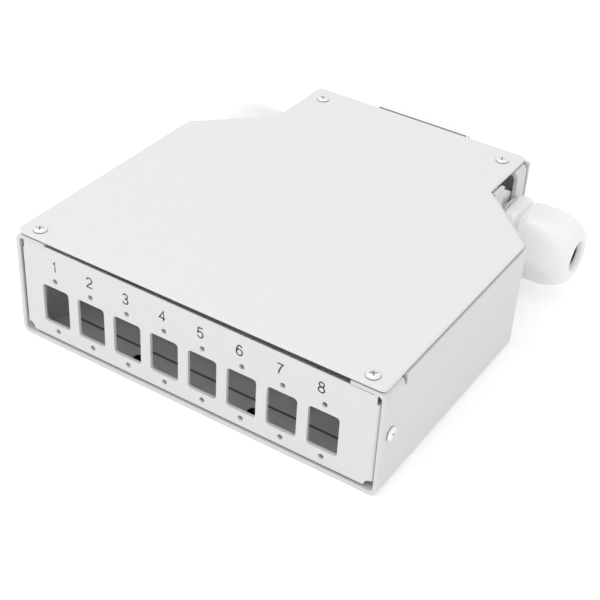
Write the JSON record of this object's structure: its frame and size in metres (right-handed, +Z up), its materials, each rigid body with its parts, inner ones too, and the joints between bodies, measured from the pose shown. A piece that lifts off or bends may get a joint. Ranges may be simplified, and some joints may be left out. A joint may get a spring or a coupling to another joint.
{
  "type": "fibre splice box",
  "caption": "Flat sheet steel box for optical fibre splices, with a row of square adaptor cut-outs, two side cable glands and a spring clip for a mounting rail.",
  "frame": {"origin": "middle of the flat underside", "axes": "+Z up through the cover; the port panel faces -Y and the rail clip is on the +Y side; the glands point along X"},
  "size_m": [0.132, 0.1353, 0.0378],
  "materials": {
    "tray_paint": "fine textured powder coat",
    "cover_paint": "fine textured powder coat",
    "panel_paint": "fine textured powder coat",
    "screws": "nickel plated",
    "dark_screws": "black oxide",
    "gland_nylon": "moulded nylon",
    "seals": "matt",
    "clip_zinc": "zinc plated",
    "spring": "spring steel",
    "holder": "moulded"
  },
  "bodies": {
    "box": {"base_tray": "tray_paint", "top_cover": "cover_paint", "front_panel": "panel_paint", "cover_screw_front_left": "screws", "cover_screw_front_right": "screws", "cover_screw_rear_left": "screws", "cover_screw_rear_right": "screws", "panel_side_screw_left": "screws", "panel_side_screw_right": "screws", "panel_floor_screw_left": "dark_screws", "panel_floor_screw_right": "dark_screws", "gland_body_left": "gland_nylon", "gland_body_right": "gland_nylon", "gland_locknut_left": "gland_nylon", "gland_locknut_right": "gland_nylon", "gland_washer_left": "seals", "gland_washer_right": "seals", "clip_base": "clip_zinc", "clip_spring": "spring", "clip_screw_left": "screws", "clip_screw_right": "screws", "clip_screw_nut_left": "clip_zinc", "clip_screw_nut_right": "clip_zinc", "splice_holder": "holder"},
    "seal_left": {"gland_seal_left": "seals"},
    "seal_right": {"gland_seal_right": "seals"},
    "nut_left": {"gland_nut_left": "gland_nylon"},
    "nut_right": {"gland_nut_right": "gland_nylon"},
    "latch": {"clip_latch": "clip_zinc"}
  },
  "joints": [
    {"name": "nut_travel_left", "type": "slide", "parent": "box", "child": "seal_left", "axis": [-1, 0, 0], "range_m": [0, 0.006]},
    {"name": "nut_turn_left", "type": "hinge", "parent": "seal_left", "child": "nut_left", "pos_m": [-0.0405, 0.05025, 0.016], "axis": [-1, 0, 0], "range_deg": [0, 1440]},
    {"name": "nut_travel_right", "type": "slide", "parent": "box", "child": "seal_right", "axis": [1, 0, 0], "range_m": [0, 0.006]},
    {"name": "nut_turn_right", "type": "hinge", "parent": "seal_right", "child": "nut_right", "pos_m": [0.0405, 0.05025, 0.016], "axis": [1, 0, 0], "range_deg": [0, 1440]},
    {"name": "latch_slide", "type": "slide", "parent": "box", "child": "latch", "axis": [0, 0, 1], "range_m": [0, 0.005], "stiffness_N_per_m": 600, "springref_m": -0.008, "deforming": ["clip_spring"]}
  ],
  "couplings": [
    {"joint": "nut_travel_left", "follows": "nut_turn_left", "m_per_rad": 0.0002387},
    {"joint": "nut_travel_right", "follows": "nut_turn_right", "m_per_rad": 0.0002387}
  ]
}
